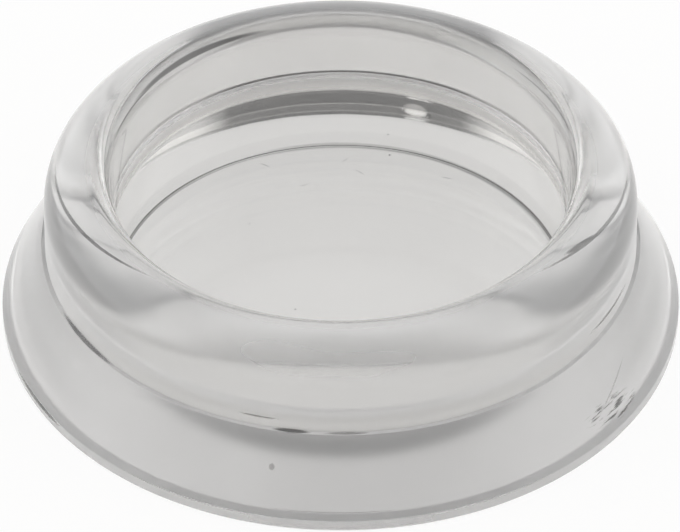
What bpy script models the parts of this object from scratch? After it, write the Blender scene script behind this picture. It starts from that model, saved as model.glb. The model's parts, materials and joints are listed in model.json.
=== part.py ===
"""Clear caster cup: a floor protector that a furniture caster or foot stands in.

It is one injection moulding, turned about +Z: a flat-floored well, a thick rim with a round
shoulder, and a sloping skirt that is hollow underneath and stands on a foot ring.
Units are metres. The origin is the centre of the underside, and +Z points out of the well.
"""

import math

import bmesh
import bpy
from mathutils import Vector

# Well, where the caster stands
WELL_FLOOR_RADIUS = 0.01965
WELL_FLARE = 0.0001  # the mouth's radius is larger than the floor's by this much
FLOOR_THICKNESS = 0.0017
FLOOR_CORNER_ROUND = 0.0003

# Rim, from the mouth of the well outward
MOUTH_ROUND = 0.0017
CREST_LAND = 0.0002  # flat ring on top of the rim
SHOULDER_ROUND = 0.0038

# Outer wall, between the crease at the top of the skirt and the shoulder
WALL_HEIGHT = 0.0040
WALL_DRAFT = 0.0001  # the wall is wider at the crease than at the shoulder by this much
CREASE_ROUND = 0.0018

# Skirt, from the crease down to the lip
SKIRT_REACH = 0.00395  # how far the base stands out from the crease
CREASE_HEIGHT = 0.0078
LIP_HEIGHT = 0.0011
LIP_ROUND = 0.00035
BASE_EDGE_ROUND = 0.0002

# Hollow under the skirt, open at the bottom
WELL_WALL = 0.00155  # thickness of the wall between the well and the hollow
SKIRT_WALL = 0.0017  # thickness of the skirt's wall at the roof of the hollow
FOOT_RING_WIDTH = 0.0025
FOOT_EDGE_ROUND = 0.0002
ROOF_ABOVE_CREASE = 0.0008

# Sizes that follow from those above
MOUTH_RADIUS = WELL_FLOOR_RADIUS + WELL_FLARE
WALL_RADIUS = MOUTH_RADIUS + MOUTH_ROUND + CREST_LAND + SHOULDER_ROUND
CREASE_RADIUS = WALL_RADIUS + WALL_DRAFT
BASE_RADIUS = CREASE_RADIUS + SKIRT_REACH
HEIGHT = CREASE_HEIGHT + WALL_HEIGHT + SHOULDER_ROUND
ROOF_HEIGHT = CREASE_HEIGHT + ROOF_ABOVE_CREASE

# Facets around the axis, and along each kind of rounding
TURN_STEPS = 64
SHOULDER_STEPS = 7
MOUTH_STEPS = 4
ROOF_STEPS = 4
CREASE_STEPS = 3
EDGE_STEPS = 2
SHARP_ANGLE = math.radians(40.0)

CLEAR_PLASTIC_COLOUR = (0.86, 0.86, 0.85, 1.0)
CLEAR_PLASTIC_ROUGHNESS = 0.05
CLEAR_PLASTIC_IOR = 1.57


def clear_scene():
    """Remove every object from the open file."""
    for item in list(bpy.data.objects):
        bpy.data.objects.remove(item, do_unlink=True)


def clear_plastic():
    """Return the glossy, see-through material of the moulding."""
    material = bpy.data.materials.new("clear_plastic")
    material.use_nodes = True
    shader = material.node_tree.nodes["Principled BSDF"]
    shader.inputs["Base Color"].default_value = CLEAR_PLASTIC_COLOUR
    shader.inputs["Roughness"].default_value = CLEAR_PLASTIC_ROUGHNESS
    shader.inputs["Metallic"].default_value = 0.0
    shader.inputs["IOR"].default_value = CLEAR_PLASTIC_IOR
    shader.inputs["Transmission Weight"].default_value = 1.0
    return material


def half_angle(before, corner, after):
    """Return half of the angle between the two sides that meet at a corner."""
    return (before - corner).angle(after - corner) / 2.0


def fillet(before, corner, after, radius, steps):
    """Return the points of the arc that rounds a corner with this radius."""
    half = half_angle(before, corner, after)
    back = (before - corner).normalized()
    ahead = (after - corner).normalized()
    reach = radius / math.tan(half)
    centre = corner + (back + ahead).normalized() * (radius / math.sin(half))
    first_spoke = (corner + back * reach - centre).normalized()
    last_spoke = (corner + ahead * reach - centre).normalized()
    return [centre + first_spoke.slerp(last_spoke, step / steps) * radius for step in range(steps + 1)]


def roof_round(side_foot, side_top, far_top, far_foot):
    """Return the radius that rounds the whole roof of the hollow, from one side to the other."""
    near_reach = 1.0 / math.tan(half_angle(side_foot, side_top, far_top))
    far_reach = 1.0 / math.tan(half_angle(side_top, far_top, far_foot))
    return (far_top - side_top).length / (near_reach + far_reach)


def cup_corners():
    """Return the half section as (corner, rounding, steps), from the underside round to the well floor."""
    flare_per_rise = WELL_FLARE / (HEIGHT - FLOOR_THICKNESS)
    inner_foot = Vector((WELL_FLOOR_RADIUS + WELL_WALL, 0.0))
    inner_roof = Vector((inner_foot.x + flare_per_rise * ROOF_HEIGHT, ROOF_HEIGHT))
    outer_roof = Vector((CREASE_RADIUS - SKIRT_WALL, ROOF_HEIGHT))
    outer_foot = Vector((BASE_RADIUS - FOOT_RING_WIDTH, 0.0))
    roof_radius = roof_round(inner_foot, inner_roof, outer_roof, outer_foot)
    return [
        (inner_foot, FOOT_EDGE_ROUND, EDGE_STEPS),
        (inner_roof, roof_radius, ROOF_STEPS),
        (outer_roof, roof_radius, ROOF_STEPS),
        (outer_foot, FOOT_EDGE_ROUND, EDGE_STEPS),
        (Vector((BASE_RADIUS, 0.0)), BASE_EDGE_ROUND, EDGE_STEPS),
        (Vector((BASE_RADIUS, LIP_HEIGHT)), LIP_ROUND, EDGE_STEPS),
        (Vector((CREASE_RADIUS, CREASE_HEIGHT)), CREASE_ROUND, CREASE_STEPS),
        (Vector((WALL_RADIUS, HEIGHT)), SHOULDER_ROUND, SHOULDER_STEPS),
        (Vector((MOUTH_RADIUS, HEIGHT)), MOUTH_ROUND, MOUTH_STEPS),
        (Vector((WELL_FLOOR_RADIUS, FLOOR_THICKNESS)), FLOOR_CORNER_ROUND, EDGE_STEPS),
    ]


def cup_section():
    """Return the points of the rounded half section, each a (radius, height) vector."""
    corners = cup_corners()
    places = [Vector((0.0, 0.0))]
    places += [corner for corner, rounding, steps in corners]
    places += [Vector((0.0, FLOOR_THICKNESS))]
    points = []
    for index, (corner, rounding, steps) in enumerate(corners):
        points += fillet(places[index], corner, places[index + 2], rounding, steps)
    return drop_repeats(points)


def drop_repeats(points, least_step=1e-6):
    """Return the points without those that lie on the one before, where two roundings meet."""
    kept = points[:1]
    for point in points[1:]:
        if (point - kept[-1]).length > least_step:
            kept.append(point)
    return kept


def turned_mesh(name, section):
    """Return a closed mesh: the section turned about Z, with flat discs on its two open ends."""
    bm = bmesh.new()
    verts = [bm.verts.new((point.x, 0.0, point.y)) for point in section]
    edges = [bm.edges.new(pair) for pair in zip(verts, verts[1:])]
    bmesh.ops.spin(bm, geom=verts + edges, cent=(0.0, 0.0, 0.0), axis=(0.0, 0.0, 1.0),
                   angle=math.tau, steps=TURN_STEPS, use_merge=True)
    open_edges = [edge for edge in bm.edges if edge.is_boundary]
    bmesh.ops.holes_fill(bm, edges=open_edges, sides=TURN_STEPS)
    bmesh.ops.recalc_face_normals(bm, faces=bm.faces)
    mesh = bpy.data.meshes.new(name)
    bm.to_mesh(mesh)
    bm.free()
    mesh.shade_smooth()
    mesh.set_sharp_from_angle(angle=SHARP_ANGLE)
    return mesh


def make_cup():
    """Add the moulding to the scene."""
    mesh = turned_mesh("cup", cup_section())
    mesh.materials.append(clear_plastic())
    cup = bpy.data.objects.new("cup", mesh)
    bpy.context.scene.collection.objects.link(cup)
    return cup


def main():
    clear_scene()
    make_cup()


main()
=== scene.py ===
"""Clear plastic caster cup and its studio, laid out as a Blender add-on.

The cup is one moulding, turned about +Z and finished as clear, lightly used plastic.
Lengths are in metres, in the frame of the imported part: the origin is the centre of the underside.
Angles around the axis run from the front, which faces -Y, and are positive towards +X.
"""

import json
import math

import bmesh
import bpy
from bpy.props import FloatProperty, FloatVectorProperty, IntProperty, PointerProperty
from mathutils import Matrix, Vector


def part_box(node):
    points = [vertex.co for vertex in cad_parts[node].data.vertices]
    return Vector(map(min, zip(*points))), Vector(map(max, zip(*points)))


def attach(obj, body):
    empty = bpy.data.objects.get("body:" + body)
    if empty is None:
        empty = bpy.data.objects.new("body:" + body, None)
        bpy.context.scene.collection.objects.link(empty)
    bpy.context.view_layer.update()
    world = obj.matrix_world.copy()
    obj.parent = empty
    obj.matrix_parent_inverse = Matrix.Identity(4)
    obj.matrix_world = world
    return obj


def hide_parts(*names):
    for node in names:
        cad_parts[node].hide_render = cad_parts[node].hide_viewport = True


bl_info = {
    "name": "Caster Cup",
    "version": (1, 0, 0),
    "blender": (4, 5, 0),
    "location": "3D View > Sidebar > Caster Cup",
    "description": "Makes a clear plastic caster cup and the studio that it is shown in",
    "category": "Add Mesh",
}

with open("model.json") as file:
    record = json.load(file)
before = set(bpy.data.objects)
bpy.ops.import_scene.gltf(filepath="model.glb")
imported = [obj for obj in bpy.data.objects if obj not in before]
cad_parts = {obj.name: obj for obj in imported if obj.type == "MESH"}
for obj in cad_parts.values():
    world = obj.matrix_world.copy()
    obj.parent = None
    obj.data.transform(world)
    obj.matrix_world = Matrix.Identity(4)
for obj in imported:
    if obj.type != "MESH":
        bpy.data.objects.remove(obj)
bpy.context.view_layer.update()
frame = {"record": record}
CUP_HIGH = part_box("cup")[1]
MOUNTS = {mount["name"]: mount for mount in frame["record"]["mounts"]}
REGIONS = ("well", "corner", "shoulder", "crease", "skirt", "lip", "foot", "hollow", "roof", "underside")
ROOF_FIT = 0.999  # keeps the two roundings of the roof from meeting in one vertex
ROOF_DEPTH = 0.00085  # how far the roof of the hollow reaches down
OUTER_SKIN = 0.0008  # what is deeper than this under the skirt's face belongs to the hollow
CORNER_SPARE = 1.05  # the corner's region is larger than its rounding by this factor
MERGE_DISTANCE = 1e-7
UPRIGHT_SPARE = 1e-6  # a face of the lip is upright within this distance
FLOOR_RADIUS = 4.0
FLOOR_GAP = 0.00005  # between the floor and the underside


def length(name, description, default):
    """Return a property for a length in metres."""
    return FloatProperty(name=name, description=description, default=default, precision=5,
                         min=0.0, subtype="DISTANCE", unit="LENGTH")


def share(name, description, default):
    """Return a property for a number from 0 to 1."""
    return FloatProperty(name=name, description=description, default=default,
                         min=0.0, max=1.0, subtype="FACTOR")


def gain(name, description, default):
    """Return a property for a number that isn't negative."""
    return FloatProperty(name=name, description=description, default=default, min=0.0)


def colour(name, description, default):
    """Return a property for a colour."""
    return FloatVectorProperty(name=name, description=description, default=(*default, 1.0), size=4,
                               min=0.0, max=1.0, subtype="COLOR")


class CupSizes(bpy.types.PropertyGroup):
    """Sizes of the moulding's half section."""
    base_radius: length("Base Radius", "Radius of the foot ring and the lip", CUP_HIGH.x)
    height: length("Height", "Height of the rim", CUP_HIGH.z)
    floor_thickness: length("Floor Thickness", "Height of the well floor", MOUNTS["well_floor"]["pos_m"][2])
    floor_radius: length("Floor Radius", "Radius of the well floor", 0.01965)
    floor_corner_round: length("Floor Corner Round", "Rounding between well floor and wall", 0.0003)
    mouth_radius: length("Mouth Radius", "Radius of the well at the rim", 0.01975)
    mouth_round: length("Mouth Round", "Rounding of the rim's inner edge", 0.0017)
    wall_radius: length("Wall Radius", "Radius of the outer wall at the shoulder", 0.02545)
    shoulder_round: length("Shoulder Round", "Rounding of the rim's outer edge", 0.0038)
    crease_radius: length("Crease Radius", "Radius where wall and skirt meet", 0.02555)
    crease_height: length("Crease Height", "Height where the lines of wall and skirt meet", 0.0081)
    ledge_width: length("Ledge Width", "Width of the fine ledge in the crease", 0.00035)
    ledge_rise: length("Ledge Rise", "How far the ledge rises towards the wall", 0.00003)
    ledge_round: length("Ledge Round", "Rounding of the ledge's edges", 0.00005)
    lip_height: length("Lip Height", "Height of the upright edge of the base", 0.0011)
    lip_round: length("Lip Round", "Rounding at the top of the lip", 0.00035)
    foot_edge_round: length("Foot Edge Round", "Rounding of the edges on the underside", 0.0002)
    foot_ring_width: length("Foot Ring Width", "Width of the ring that the skirt stands on", 0.0025)
    well_wall: length("Well Wall", "Thickness of the wall between well and hollow", 0.00155)
    skirt_wall: length("Skirt Wall", "Thickness of the skirt at the roof of the hollow", 0.0017)
    roof_height: length("Roof Height", "Height of the hollow under the skirt", 0.0086)
    witness_radius: length("Witness Radius", "Radius of the mould's witness line on the well floor", 0.0092)
    witness_width: length("Witness Width", "Width of the witness line", 0.0004)
    witness_depth: length("Witness Depth", "Depth of the witness line", 0.00002)
    parting_height: length("Parting Height", "Height of the mould's parting line on the skirt", 0.00175)
    parting_width: length("Parting Width", "Width of the parting line", 0.0003)
    parting_depth: length("Parting Depth", "Depth of the parting line", 0.00001)
    gate_width: length("Gate Width", "Width of the stub that the mould's gate left on the lip", 0.0021)
    gate_stand: length("Gate Stand", "How far the stub of the gate stands out", 0.00035)
    gate_turn: FloatProperty(name="Gate Turn", description="Angle of the gate from the back, towards +X",
                             subtype="ANGLE", default=0.26)
    long_face: length("Long Face", "Sides of the section longer than this are split near both ends", 0.0008)
    region_fade: length("Region Fade", "How far one region of the finish fades into the next", 0.0001)
    turn_steps: IntProperty(name="Turn Steps", description="Facets around the axis", default=288, min=24)


class PlasticFinish(bpy.types.PropertyGroup):
    """Finish of the clear plastic."""
    tint: colour("Tint", "Colour that the depth of the plastic lets through", (0.62, 0.615, 0.6))
    density: gain("Density", "How fast the plastic takes up light, per metre", 15.0)
    ior: FloatProperty(name="IOR", description="Index of refraction", default=1.57, min=1.0)
    clearness: FloatProperty(name="Clearness", description="Share of the light that haze doesn't scatter",
                             default=0.98, min=0.5, max=1.0, subtype="FACTOR")
    polish: share("Polish", "Roughness of the polished faces", 0.05)
    shoulder_wear: share("Shoulder Wear", "Roughness of the rim", 0.1)
    wall_wear: share("Wall Wear", "Roughness that handling adds to the front of the wall", 0.14)
    crease_wear: share("Crease Wear", "Roughness in the crease", 0.04)
    skirt_wear: share("Skirt Wear", "Roughness that handling adds to the front of the skirt", 0.2)
    core_frost: share("Core Frost", "Roughness added at the front of the hollow", 0.2)
    roof_frost: share("Roof Frost", "Roughness of the roof of the hollow", 0.4)
    foot_wear: share("Foot Wear", "Roughness of the foot ring", 0.08)
    gate_frost: share("Gate Frost", "Roughness of the torn plastic at the gate", 0.7)
    cloudiness: share("Cloudiness", "How uneven the skin of the handled outside is", 0.8)
    cloud_scale: gain("Cloud Scale", "Uneven patches of the skin, per metre", 70.0)
    clean_colour: colour("Clean Colour", "Colour that clean plastic lets through", (1.0, 0.995, 0.985))
    skin_colour: colour("Skin Colour", "Colour that the handled outside lets through", (0.43, 0.42, 0.415))
    # Colour of the dark marks: real dirt and scratches, and painted shade at the base, in the floor's corner
    # and along dark lines
    dirt_and_shade_colour: colour("Grime Colour", "Colour that dirty places let through", (0.01, 0.01, 0.01))
    shoulder_skin: share("Shoulder Skin", "How much of the skin colour the rim has", 0.6)
    skirt_skin: share("Skirt Skin", "How much of the skin colour the skirt has", 1.0)
    shoulder_haze: share("Shoulder Haze", "Strength of the haze on the rim", 0.95)
    crease_haze: share("Crease Haze", "Strength of the haze in the crease", 1.0)
    skirt_haze: share("Skirt Haze", "Strength of the haze on the skirt and the lip", 1.0)
    rim_fade: FloatVectorProperty(name="Rim Fade", description="Radii between which the rim's haze sets in",
                                  size=2, subtype="XYZ", unit="LENGTH", precision=5, default=(0.0204, 0.0222))
    haze_ior: FloatProperty(name="Haze IOR", description="Index of the haze", default=5.0, min=1.0)
    wave_height: length("Wave Height", "Height of the waves left by moulding", 0.00002)
    wave_scale: gain("Wave Scale", "Waves left by moulding, per metre", 120.0)


class StudioSettings(bpy.types.PropertyGroup):
    """Floor, light and camera."""
    elevation: FloatProperty(name="Elevation", description="Height of the camera over the horizon",
                             subtype="ANGLE", default=math.radians(40.0))
    distance: length("Distance", "From the camera to the point it looks at", 0.4425)
    target_side: FloatProperty(name="Target Side", description="How far right of the axis the camera looks",
                               default=-0.00006, precision=5, subtype="DISTANCE", unit="LENGTH")
    target_height: length("Target Height", "Height of the point that the camera looks at", 0.004)
    lens: FloatProperty(name="Lens", description="Focal length of the camera in millimetres",
                        default=269.4, min=1.0)
    floor_colour: colour("Floor Colour", "Colour of the floor", (0.755, 0.74, 0.715))
    floor_fill: share("Floor Fill", "Share of plain white in the floor seen in or through the plastic", 0.55)
    floor_glow: share("Floor Glow", "Share of plain white in the floor as it is seen", 0.92)
    world_strength: gain("World Strength", "Light from all round", 0.56)
    key_direction: FloatVectorProperty(name="Key Direction", description="Where most of the light comes from",
                                       subtype="DIRECTION", size=3, default=(-0.05, -0.1, 1.0))
    key_gain: gain("Key Gain", "How much brighter it is towards the key direction", 0.5)
    side_gain: gain("Side Gain", "How much brighter it is at the sides", 2.5)
    side_turn: share("Side Turn", "How far the light at the sides reaches round behind the cup", 0.3)
    back_shade: share("Back Shade", "How much darker it is behind the cup", 0.05)


def half_angle(before, corner, after):
    """Return half of the angle between the two sides that meet at a corner."""
    return (before - corner).angle(after - corner) / 2.0


def section_corners(sizes):
    """Return the half section as (corner, rounding, segments), from the underside to the well floor."""
    s = sizes
    flare_per_rise = (s.mouth_radius - s.floor_radius) / (s.height - s.floor_thickness)
    inner_foot = Vector((s.floor_radius + s.well_wall, 0.0, 0.0))
    inner_roof = Vector((inner_foot.x + flare_per_rise * s.roof_height, 0.0, s.roof_height))
    outer_roof = Vector((s.crease_radius - s.skirt_wall, 0.0, s.roof_height))
    outer_foot = Vector((s.base_radius - s.foot_ring_width, 0.0, 0.0))
    near_reach = 1.0 / math.tan(half_angle(inner_foot, inner_roof, outer_roof))
    far_reach = 1.0 / math.tan(half_angle(inner_roof, outer_roof, outer_foot))
    roof_round = ROOF_FIT * (outer_roof - inner_roof).length / (near_reach + far_reach)
    witness = Vector((s.witness_radius, 0.0, s.floor_thickness))
    half_width = Vector((s.witness_width / 2.0, 0.0, 0.0))
    lip = Vector((s.base_radius, 0.0, s.lip_height))
    crease = Vector((s.crease_radius, 0.0, s.crease_height))
    up_skirt = (crease - lip).normalized()
    into_skirt = Vector((-up_skirt.z, 0.0, up_skirt.x))
    parting = lip + up_skirt * ((s.parting_height - s.lip_height) / up_skirt.z)
    ledge_edge = crease + up_skirt * (s.ledge_width / up_skirt.x)
    ledge_foot = Vector((s.crease_radius, 0.0, ledge_edge.z + s.ledge_rise))
    half_line = up_skirt * (s.parting_width / 2.0)
    return [
        (Vector((0.0, 0.0, 0.0)), 0.0, 0),
        (inner_foot, s.foot_edge_round, 4),
        (inner_roof, roof_round, 10),
        (outer_roof, roof_round, 10),
        (outer_foot, s.foot_edge_round, 4),
        (Vector((s.base_radius, 0.0, 0.0)), s.foot_edge_round, 4),
        (lip, s.lip_round, 6),
        (parting - half_line, 0.0, 0),
        (parting + into_skirt * s.parting_depth, 0.0, 0),
        (parting + half_line, 0.0, 0),
        (ledge_edge, s.ledge_round, 3),
        (ledge_foot, s.ledge_round, 3),
        (Vector((s.wall_radius, 0.0, s.height)), s.shoulder_round, 20),
        (Vector((s.mouth_radius, 0.0, s.height)), s.mouth_round, 14),
        (Vector((s.floor_radius, 0.0, s.floor_thickness)), s.floor_corner_round, 6),
        (witness + half_width, 0.0, 0),
        (witness - Vector((0.0, 0.0, s.witness_depth)), 0.0, 0),
        (witness - half_width, 0.0, 0),
        (Vector((0.0, 0.0, s.floor_thickness)), 0.0, 0),
    ]


def region_of(radius, height, sizes):
    """Return the name of the region of the moulding that a point lies on."""
    s = sizes
    slope = (s.base_radius - s.crease_radius) / (s.crease_height - s.lip_height)
    skirt = min(s.base_radius, s.crease_radius + slope * max(0.0, s.crease_height - height))
    if height < s.foot_edge_round / 2.0:
        return "foot" if radius > s.crease_radius else "underside"
    if radius < s.mouth_radius + s.mouth_round / 2.0:
        corner_reach = s.floor_corner_round * CORNER_SPARE
        beside = radius > s.floor_radius - corner_reach
        in_corner = beside and height < s.floor_thickness + corner_reach
        return "corner" if in_corner else "well"
    if height < s.roof_height + s.region_fade and radius < skirt - OUTER_SKIN:
        return "roof" if height > s.roof_height - ROOF_DEPTH else "hollow"
    if height < s.lip_height:
        return "lip"
    ledge = s.crease_height - s.ledge_width / slope
    if height < ledge - s.region_fade:
        return "skirt"
    return "crease" if height < ledge + s.ledge_rise + s.region_fade else "shoulder"


def turned_moulding(sizes):
    """Return a bmesh of the closed moulding, with each vertex marked with its region."""
    bm = bmesh.new()
    corners = section_corners(sizes)
    verts = [bm.verts.new(place) for place, rounding, segments in corners]
    for pair in zip(verts, verts[1:]):
        bm.edges.new(pair)
    for index, (place, rounding, segments) in enumerate(corners):
        if segments:
            half = half_angle(corners[index - 1][0], place, corners[index + 1][0])
            bmesh.ops.bevel(bm, geom=[verts[index]], offset=rounding / math.tan(half), offset_type="OFFSET",
                            segments=segments, profile=0.5, affect="VERTICES", material=-1)
    for edge in [edge for edge in bm.edges if edge.calc_length() > sizes.long_face]:
        ends = edge.verts[:]
        for end in ends:
            bmesh.utils.edge_split(edge, end, sizes.region_fade / edge.calc_length())
    bmesh.ops.spin(bm, geom=bm.verts[:] + bm.edges[:], cent=(0.0, 0.0, 0.0), axis=(0.0, 0.0, 1.0),
                   angle=math.tau, steps=sizes.turn_steps, use_merge=True)
    bmesh.ops.remove_doubles(bm, verts=bm.verts[:], dist=MERGE_DISTANCE)
    add_gate(bm, sizes)
    bmesh.ops.recalc_face_normals(bm, faces=bm.faces[:])
    layers = {name: bm.verts.layers.float.new(name) for name in REGIONS}
    for vert in bm.verts:
        vert[layers[region_of(vert.co.xy.length, vert.co.z, sizes)]] = 1.0
    return bm


def add_gate(bm, sizes):
    """Raise the stub of the gate on the lip, at the back."""
    reach = sizes.gate_width / 2.0 / sizes.base_radius
    upright = sizes.base_radius - UPRIGHT_SPARE
    picked = []
    for face in bm.faces:
        middle = face.calc_center_median()
        on_lip = all(vert.co.xy.length > upright for vert in face.verts)
        if on_lip and abs(math.atan2(middle.x, middle.y) - sizes.gate_turn) < reach:
            picked.append(face)
    if not picked:
        raise RuntimeError("the lip has no face for the gate")
    raised = bmesh.ops.extrude_face_region(bm, geom=picked)["geom"]
    outward = Vector((math.sin(sizes.gate_turn), math.cos(sizes.gate_turn), 0.0))
    stub = [item for item in raised if isinstance(item, bmesh.types.BMVert)]
    bmesh.ops.translate(bm, verts=stub, vec=outward * sizes.gate_stand)
    bmesh.ops.delete(bm, geom=picked, context="FACES_ONLY")


def set_or_link(tree, socket, value):
    """Give an input a value: the socket that it comes from, or a number."""
    if isinstance(value, bpy.types.NodeSocket):
        tree.links.new(value, socket)
    else:
        socket.default_value = value


def combine(tree, operation, first, second=0.0):
    """Return the result of a Math node."""
    node = tree.nodes.new("ShaderNodeMath")
    node.operation = operation
    set_or_link(tree, node.inputs[0], first)
    set_or_link(tree, node.inputs[1], second)
    return node.outputs[0]


def ramp(tree, value, low, high):
    """Return a smooth step from 0 at low to 1 at high, or the other way where high is below low."""
    node = tree.nodes.new("ShaderNodeMapRange")
    node.interpolation_type = "SMOOTHSTEP"
    node.inputs["From Min"].default_value = min(low, high)
    node.inputs["From Max"].default_value = max(low, high)
    tree.links.new(value, node.inputs["Value"])
    result = node.outputs["Result"]
    return result if low < high else combine(tree, "SUBTRACT", 1.0, result)


def region(tree, name):
    """Return the mask of a region that is marked on the mesh."""
    node = tree.nodes.new("ShaderNodeAttribute")
    node.attribute_name = name
    return node.outputs["Fac"]


def noise(tree, scale, detail):
    """Return a noise in the object's own space."""
    place = tree.nodes.new("ShaderNodeTexCoord")
    node = tree.nodes.new("ShaderNodeTexNoise")
    node.inputs["Scale"].default_value = scale
    node.inputs["Detail"].default_value = detail
    tree.links.new(place.outputs["Object"], node.inputs["Vector"])
    return node.outputs["Fac"]


class Places:
    """Sockets that tell where on the cup a shaded point lies."""

    def __init__(self, tree):
        place = tree.nodes.new("ShaderNodeTexCoord")
        axes = tree.nodes.new("ShaderNodeSeparateXYZ")
        tree.links.new(place.outputs["Object"], axes.inputs[0])
        flat = tree.nodes.new("ShaderNodeVectorMath")
        flat.operation = "MULTIPLY"
        flat.inputs[1].default_value = (1.0, 1.0, 0.0)
        tree.links.new(place.outputs["Object"], flat.inputs[0])
        radius = tree.nodes.new("ShaderNodeVectorMath")
        radius.operation = "LENGTH"
        tree.links.new(flat.outputs[0], radius.inputs[0])
        self.x, self.y, self.height = axes.outputs
        self.radius = radius.outputs["Value"]
        self.from_front = combine(tree, "ARCTAN2", self.x, combine(tree, "MULTIPLY", self.y, -1.0))
        self.from_back = combine(tree, "ARCTAN2", self.x, self.y)


def stroke(tree, along, across, centre, half, bend=(0.0, 0.0)):
    """Return a mask that tapers to both ends.

    centre and half are (along, across), and bend is how far the stroke leads off its start, per step
    along it and per step squared.
    """
    step = combine(tree, "SUBTRACT", along, centre[0])
    off = combine(tree, "SUBTRACT", across, centre[1])
    off = combine(tree, "SUBTRACT", off, combine(tree, "MULTIPLY", step, bend[0]))
    squared = combine(tree, "MULTIPLY", step, step)
    off = combine(tree, "SUBTRACT", off, combine(tree, "MULTIPLY", squared, bend[1]))
    parts = []
    for value, reach in zip((step, off), half):
        part = combine(tree, "DIVIDE", value, reach)
        parts.append(combine(tree, "MULTIPLY", part, part))
    edge, full = 1.0, 0.3
    return ramp(tree, combine(tree, "ADD", *parts), edge, full)


def specks(tree, scale, size, kept):
    """Return sparse round specks: size is a share of their spacing, and kept the share that shows."""
    place = tree.nodes.new("ShaderNodeTexCoord")
    cells = tree.nodes.new("ShaderNodeTexVoronoi")
    cells.inputs["Scale"].default_value = scale
    tree.links.new(place.outputs["Object"], cells.inputs["Vector"])
    chance = tree.nodes.new("ShaderNodeSeparateColor")
    tree.links.new(cells.outputs["Color"], chance.inputs["Color"])
    near = ramp(tree, cells.outputs["Distance"], size, size / 2.0)
    return combine(tree, "MULTIPLY", near, combine(tree, "LESS_THAN", chance.outputs[0], kept))


def streaks(tree, places, per_turn, per_rise):
    """Return fine streaks round the cup, so many to a radian and so many to a metre of height."""
    place = tree.nodes.new("ShaderNodeCombineXYZ")
    tree.links.new(combine(tree, "MULTIPLY", places.from_front, per_turn), place.inputs["X"])
    tree.links.new(combine(tree, "MULTIPLY", places.height, per_rise), place.inputs["Y"])
    node = tree.nodes.new("ShaderNodeTexNoise")
    node.inputs["Scale"].default_value = 1.0
    tree.links.new(place.outputs[0], node.inputs["Vector"])
    edge, full = 0.5, 0.63
    return ramp(tree, node.outputs["Fac"], edge, full)


def gate_mask(tree, places, sizes):
    """Return where the torn plastic of the gate is."""
    torn_width, torn_height = 0.75, 1.1
    lip_radii = (0.028, 0.0285)
    centre = (sizes.gate_turn, sizes.lip_height)
    half = (sizes.gate_width * torn_width / sizes.base_radius, sizes.lip_height * torn_height)
    mask = stroke(tree, places.from_back, places.height, centre, half)
    return combine(tree, "MULTIPLY", mask, ramp(tree, places.radius, *lip_radii))


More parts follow.
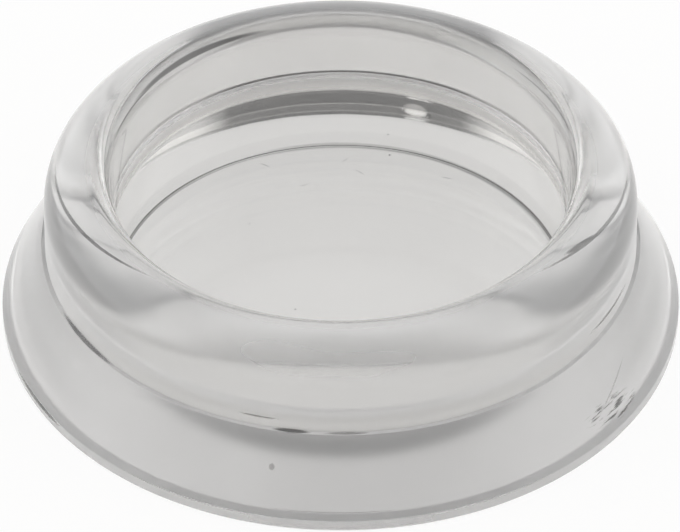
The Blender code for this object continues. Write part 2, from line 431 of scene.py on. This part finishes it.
def dirt_and_painted_shade_mask(tree, places):
    """Return the dark marks on the plastic: painted shade along the base at the back and in the floor's
    corner, strokes that are mostly painted shade and partly scratches, a scuff and dust specks.
    """
    # Where the painted shade along the base at the back sits, and how far round it reaches
    foot_shade_turn, foot_shade_reach = 0.02, (0.58, 0.40)  # angles
    corner_shade_side, corner_shade_strength = (-0.010, -0.002), 0.4  # the side is along X
    scuff_strength = 0.95
    speck_scale, speck_size, specks_kept, speck_strength = 240.0, 0.03, 0.3, 0.5
    back = places.from_back
    front = places.from_front
    # Painted shade: the foot ring and the lip are darkened at the back, standing in for the shadow under the
    # base that shows through the skirt
    edge = combine(tree, "MAXIMUM", region(tree, "foot"), region(tree, "lip"))
    away = combine(tree, "ABSOLUTE", combine(tree, "SUBTRACT", back, foot_shade_turn))
    dirt_and_shade = combine(tree, "MULTIPLY", edge, ramp(tree, away, *foot_shade_reach))
    # Painted shade: a dark line in the corner of the well floor, everywhere except towards the left
    corner = combine(tree, "MULTIPLY", region(tree, "corner"), ramp(tree, places.x, *corner_shade_side))
    dirt_and_shade = combine(tree, "MAXIMUM", dirt_and_shade, combine(tree, "MULTIPLY", corner, corner_shade_strength))
    # Region, axis along, axis across, then as in stroke: centre, half, bend; and the strength
    # Most strokes are painted shade, dark lines that stand in for refraction and reflection; the rows on the
    # well floor are scratches
    strokes = (
        # Painted shade: dark lines of refraction just under the mouth of the well
        ("well", back, places.height, (-0.72, 0.01513), (0.46, 0.00022), (0.0002, -0.0008), 0.95),
        ("well", back, places.height, (-1.10, 0.01485), (0.34, 0.00008), (0.0006, 0.0), 0.9),
        ("well", back, places.height, (1.12, 0.01520), (0.36, 0.00006), (0.0, 0.0), 0.7),
        # Painted shade: dark lines of refraction along the rim
        ("shoulder", front, places.radius, (-1.2, 0.02355), (0.45, 0.00016), (-0.0033, -0.0024), 0.9),
        ("shoulder", front, places.radius, (1.2, 0.02355), (0.40, 0.00016), (0.0036, -0.0024), 0.8),
        ("shoulder", front, places.radius, (1.08, 0.02290), (0.10, 0.00030), (0.0055, 0.0), 0.8),
        # Painted shade: dark dashes of reflection just above and in the crease
        ("shoulder", front, places.height, (-0.27, 0.00845), (0.07, 0.00012), (0.0, 0.0), 0.8),
        ("crease", front, places.radius, (-0.16, 0.0257), (0.07, 0.00025), (0.0, 0.0), 0.95),
        ("crease", front, places.radius, (0.02, 0.0257), (0.08, 0.00018), (0.0, 0.0), 0.7),
        ("crease", front, places.radius, (-1.0, 0.0257), (0.18, 0.00025), (0.0, 0.0), 0.8),
        # A thin darker line along the parting line
        ("skirt", front, places.height, (-0.02, 0.00175), (0.2, 0.00006), (0.0, 0.0), 0.5),
        # Painted shade: a dark dash just above the crease on the right
        ("shoulder", front, places.height, (1.11, 0.0087), (0.16, 0.0002), (0.0, 0.0), 0.8),
        # Darker marks on the lip and the skirt
        ("lip", front, places.height, (-1.08, 0.0009), (0.16, 0.0003), (0.0, 0.0), 0.9),
        ("skirt", front, places.height, (-0.21, 0.0048), (0.011, 0.0003), (0.0, 0.0), 0.6),
        ("skirt", front, places.height, (0.97, 0.0039), (0.11, 0.00008), (0.0106, 0.0), 0.4),
        # Scratches and a small mark on the well floor
        ("well", places.x, places.y, (-0.0068, 0.01685), (0.0005, 0.00006), (-0.6, 0.0), 0.6),
        ("well", places.x, places.y, (-0.0032, 0.0140), (0.0005, 0.00006), (0.5, 900.0), 0.5),
        ("well", places.x, places.y, (0.0004, 0.01756), (0.0004, 0.00006), (1.2, 0.0), 0.5),
        ("well", places.x, places.y, (0.0017, 0.01585), (0.0005, 0.00006), (-0.9, 0.0), 0.5),
        ("well", places.x, places.y, (0.0044, 0.01828), (0.00012, 0.00012), (0.0, 0.0), 0.9),
        ("well", places.x, places.y, (0.0095, 0.0150), (0.0005, 0.00006), (-0.3, 0.0), 0.6),
    )
    for name, along, across, centre, half, bend, strength in strokes:
        mark = combine(tree, "MULTIPLY", region(tree, name), stroke(tree, along, across, centre, half, bend))
        dirt_and_shade = combine(tree, "MAXIMUM", dirt_and_shade, combine(tree, "MULTIPLY", mark, strength))
    scuff = stroke(tree, front, places.height, (0.93, 0.0026), (0.13, 0.0011), (-0.003, 0.0))
    scuff = combine(tree, "MULTIPLY", scuff, streaks(tree, places, per_turn=15.0, per_rise=5000.0))
    scuff = combine(tree, "MULTIPLY", scuff, region(tree, "skirt"))
    dirt_and_shade = combine(tree, "MAXIMUM", dirt_and_shade, combine(tree, "MULTIPLY", scuff, scuff_strength))
    dust = specks(tree, speck_scale, speck_size, specks_kept)
    return combine(tree, "MAXIMUM", dirt_and_shade, combine(tree, "MULTIPLY", dust, speck_strength))


def roughness_by_region(tree, places, finish, gate):
    """Return the roughness of each region; skirt, wall and hollow are rougher at the front."""
    front_from, front_full = 0.006, -0.006  # depths, along Y
    wall_from, wall_full = 0.0135, 0.0115  # heights
    front = ramp(tree, places.y, front_from, front_full)
    skirt = combine(tree, "ADD", finish.polish, combine(tree, "MULTIPLY", front, finish.skirt_wear))
    hollow = combine(tree, "ADD", finish.polish, combine(tree, "MULTIPLY", front, finish.core_frost))
    wall = combine(tree, "MULTIPLY", front, ramp(tree, places.height, wall_from, wall_full))
    shoulder = combine(tree, "ADD", finish.shoulder_wear, combine(tree, "MULTIPLY", wall, finish.wall_wear))
    by_region = {
        "well": finish.polish,
        "corner": finish.polish,
        "shoulder": shoulder,
        "crease": finish.crease_wear,
        "skirt": skirt,
        "lip": finish.shoulder_wear,
        "foot": finish.foot_wear,
        "hollow": hollow,
        "roof": finish.roof_frost,
        "underside": finish.polish,
    }
    rough = 0.0
    for name, value in by_region.items():
        rough = combine(tree, "ADD", rough, combine(tree, "MULTIPLY", region(tree, name), value))
    return combine(tree, "MAXIMUM", rough, combine(tree, "MULTIPLY", gate, finish.gate_frost))


def mix_colour(tree, factor, first, second):
    """Return a mix of two colours."""
    node = tree.nodes.new("ShaderNodeMix")
    node.data_type = "RGBA"
    tree.links.new(factor, node.inputs["Factor"])
    set_or_link(tree, node.inputs["A"], first)
    set_or_link(tree, node.inputs["B"], second)
    return node.outputs["Result"]


def clear_plastic(finish, sizes):
    """Return the clear plastic, tinted by its depth, worn where it is handled, and darkened by dirt and by
    painted shade.
    """
    haze_from, haze_full = 0.023, 0.010  # depths, along Y
    cloud_detail, wave_detail = 3.0, 2.0
    material = bpy.data.materials.new("clear_plastic")
    material.use_nodes = True
    tree = material.node_tree
    shader = tree.nodes["Principled BSDF"]
    places = Places(tree)
    gate = gate_mask(tree, places, sizes)
    clouds = noise(tree, finish.cloud_scale, cloud_detail)
    clouds = combine(tree, "MULTIPLY", clouds, finish.cloudiness)
    clouds = combine(tree, "ADD", clouds, 1.0 - finish.cloudiness / 2.0)
    off_rim = ramp(tree, places.radius, *finish.rim_fade)
    shoulder = combine(tree, "MULTIPLY", region(tree, "shoulder"), off_rim)
    skirt = combine(tree, "ADD", region(tree, "skirt"), region(tree, "crease"))
    skin = combine(tree, "ADD", combine(tree, "MULTIPLY", skirt, finish.skirt_skin),
                   combine(tree, "MULTIPLY", shoulder, finish.shoulder_skin))
    skin = combine(tree, "MULTIPLY", skin, clouds)
    low = combine(tree, "ADD", region(tree, "skirt"), region(tree, "lip"))
    haze = combine(tree, "ADD", combine(tree, "MULTIPLY", low, finish.skirt_haze),
                   combine(tree, "MULTIPLY", region(tree, "crease"), finish.crease_haze))
    haze = combine(tree, "MULTIPLY", haze, ramp(tree, places.y, haze_from, haze_full))
    haze = combine(tree, "ADD", haze, combine(tree, "MULTIPLY", shoulder, finish.shoulder_haze))
    shade = mix_colour(tree, skin, finish.clean_colour, finish.skin_colour)
    # Dirt and painted shade darken the colour and take away the haze, except at the gate
    dirt_and_shade = combine(tree, "MULTIPLY", dirt_and_painted_shade_mask(tree, places), combine(tree, "SUBTRACT", 1.0, gate))
    shade = mix_colour(tree, dirt_and_shade, shade, finish.dirt_and_shade_colour)
    haze = combine(tree, "MULTIPLY", haze, combine(tree, "SUBTRACT", 1.0, dirt_and_shade))
    tree.links.new(shade, shader.inputs["Base Color"])
    tree.links.new(roughness_by_region(tree, places, finish, gate), shader.inputs["Roughness"])
    tree.links.new(haze, shader.inputs["Coat Weight"])
    bump = tree.nodes.new("ShaderNodeBump")
    bump.inputs["Distance"].default_value = finish.wave_height
    tree.links.new(noise(tree, finish.wave_scale, wave_detail), bump.inputs["Height"])
    tree.links.new(bump.outputs["Normal"], shader.inputs["Normal"])
    shader.inputs["Coat Roughness"].default_value = 1.0
    shader.inputs["Coat IOR"].default_value = finish.haze_ior
    shader.inputs["IOR"].default_value = finish.ior
    shader.inputs["Transmission Weight"].default_value = finish.clearness
    depth = tree.nodes.new("ShaderNodeVolumeAbsorption")
    depth.inputs["Color"].default_value = finish.tint
    depth.inputs["Density"].default_value = finish.density
    tree.links.new(depth.outputs["Volume"], tree.nodes["Material Output"].inputs["Volume"])
    return material


class CASTERCUP_OT_moulding(bpy.types.Operator):
    """Make the clear moulding"""
    bl_idname = "caster_cup.moulding"
    bl_label = "Moulding"

    def execute(self, context):
        scene = context.scene
        bm = turned_moulding(scene.cup_sizes)
        mesh = bpy.data.meshes.new("moulding")
        bm.to_mesh(mesh)
        bm.free()
        mesh.shade_smooth()
        mesh.materials.append(clear_plastic(scene.plastic_finish, scene.cup_sizes))
        moulding = bpy.data.objects.new("moulding", mesh)
        scene.collection.objects.link(moulding)
        normals = moulding.modifiers.new("flat_faces_stay_flat", "WEIGHTED_NORMAL")
        normals.weight = 50
        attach(moulding, "root")
        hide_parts("cup")
        return {"FINISHED"}


class CASTERCUP_OT_studio(bpy.types.Operator):
    """Make the floor, the light and the camera"""
    bl_idname = "caster_cup.studio"
    bl_label = "Studio"

    def execute(self, context):
        studio = context.scene.studio_settings
        make_floor(studio)
        make_world(studio)
        make_camera(studio)
        context.scene.view_settings.view_transform = "Standard"
        return {"FINISHED"}


def make_floor(studio):
    """Make the pale floor, just clear of the underside."""
    bm = bmesh.new()
    bmesh.ops.create_circle(bm, cap_ends=True, segments=96, radius=FLOOR_RADIUS)
    bmesh.ops.translate(bm, verts=bm.verts[:], vec=(0.0, 0.0, -FLOOR_GAP))
    mesh = bpy.data.meshes.new("floor")
    bm.to_mesh(mesh)
    bm.free()
    floor = bpy.data.objects.new("floor", mesh)
    bpy.context.scene.collection.objects.link(floor)
    material = bpy.data.materials.new("pale_floor")
    material.use_nodes = True
    tree = material.node_tree
    tree.nodes.remove(tree.nodes["Principled BSDF"])
    matt = tree.nodes.new("ShaderNodeBsdfDiffuse")
    matt.inputs["Color"].default_value = studio.floor_colour
    path = tree.nodes.new("ShaderNodeLightPath")
    plain = tree.nodes.new("ShaderNodeEmission")
    by_plastic = combine(tree, "MAXIMUM", path.outputs["Is Glossy Ray"], path.outputs["Is Transmission Ray"])
    shown = matt.outputs[0]
    by_camera = path.outputs["Is Camera Ray"]
    for rays, plain_share in ((by_plastic, studio.floor_fill), (by_camera, studio.floor_glow)):
        mix = tree.nodes.new("ShaderNodeMixShader")
        tree.links.new(combine(tree, "MULTIPLY", rays, plain_share), mix.inputs[0])
        tree.links.new(shown, mix.inputs[1])
        tree.links.new(plain.outputs[0], mix.inputs[2])
        shown = mix.outputs[0]
    tree.links.new(shown, tree.nodes["Material Output"].inputs["Surface"])
    mesh.materials.append(material)


def make_world(studio):
    """Light the cup softly from all round, most from above and from both sides."""
    key_spread, side_spread = (0.45, 0.95), (0.35, 0.85)
    back_depth, back_width = (0.1, 0.6), (0.55, 0.2)
    world = bpy.data.worlds.new("studio")
    world.use_nodes = True
    bpy.context.scene.world = world
    tree = world.node_tree
    place = tree.nodes.new("ShaderNodeTexCoord")
    axes = tree.nodes.new("ShaderNodeSeparateXYZ")
    tree.links.new(place.outputs["Generated"], axes.inputs[0])
    key = tree.nodes.new("ShaderNodeVectorMath")
    key.operation = "DOT_PRODUCT"
    key.inputs[1].default_value = Vector(studio.key_direction).normalized()
    tree.links.new(place.outputs["Generated"], key.inputs[0])
    light = combine(tree, "MULTIPLY", ramp(tree, key.outputs["Value"], *key_spread), studio.key_gain)
    aside = combine(tree, "ABSOLUTE", axes.outputs["X"])
    behind = combine(tree, "MULTIPLY", axes.outputs["Y"], studio.side_turn)
    side = ramp(tree, combine(tree, "ADD", aside, behind), *side_spread)
    light = combine(tree, "ADD", light, combine(tree, "MULTIPLY", side, studio.side_gain))
    light = combine(tree, "ADD", light, 1.0)
    back = combine(tree, "MULTIPLY", ramp(tree, axes.outputs["Y"], *back_depth), studio.back_shade)
    back = combine(tree, "MULTIPLY", back, ramp(tree, aside, *back_width))
    light = combine(tree, "MULTIPLY", light, combine(tree, "SUBTRACT", 1.0, back))
    light = combine(tree, "MULTIPLY", light, studio.world_strength)
    background = tree.nodes["Background"]
    background.inputs["Color"].default_value = (1.0, 1.0, 1.0, 1.0)
    tree.links.new(light, background.inputs["Strength"])


def make_camera(studio):
    """Put the camera where the photograph was taken from."""
    camera = bpy.data.objects.new("camera", bpy.data.cameras.new("camera"))
    bpy.context.scene.collection.objects.link(camera)
    back = Vector((0.0, -math.cos(studio.elevation), math.sin(studio.elevation)))
    camera.location = Vector((studio.target_side, 0.0, studio.target_height)) + back * studio.distance
    camera.rotation_euler = (-back).to_track_quat("-Z", "Y").to_euler()
    camera.data.lens = studio.lens
    camera.data.clip_start = 0.01
    bpy.context.scene.camera = camera


class CASTERCUP_PT_panel(bpy.types.Panel):
    """Lists what makes the cup and its studio"""
    bl_idname = "CASTERCUP_PT_panel"
    bl_label = "Caster Cup"
    bl_space_type = "VIEW_3D"
    bl_region_type = "UI"
    bl_category = "Caster Cup"

    def draw(self, context):
        column = self.layout.column()
        for operator in OPERATORS:
            column.operator(operator.bl_idname)


GROUPS = {"cup_sizes": CupSizes, "plastic_finish": PlasticFinish, "studio_settings": StudioSettings}
OPERATORS = (CASTERCUP_OT_moulding, CASTERCUP_OT_studio)
CLASSES = (*GROUPS.values(), *OPERATORS, CASTERCUP_PT_panel)


def register():
    for cls in CLASSES:
        bpy.utils.register_class(cls)
    for name, group in GROUPS.items():
        setattr(bpy.types.Scene, name, PointerProperty(type=group))


def unregister():
    for name in GROUPS:
        delattr(bpy.types.Scene, name)
    for cls in reversed(CLASSES):
        bpy.utils.unregister_class(cls)


def main():
    register()
    bpy.ops.caster_cup.moulding()
    bpy.ops.caster_cup.studio()


if __name__ == "__main__":
    main()
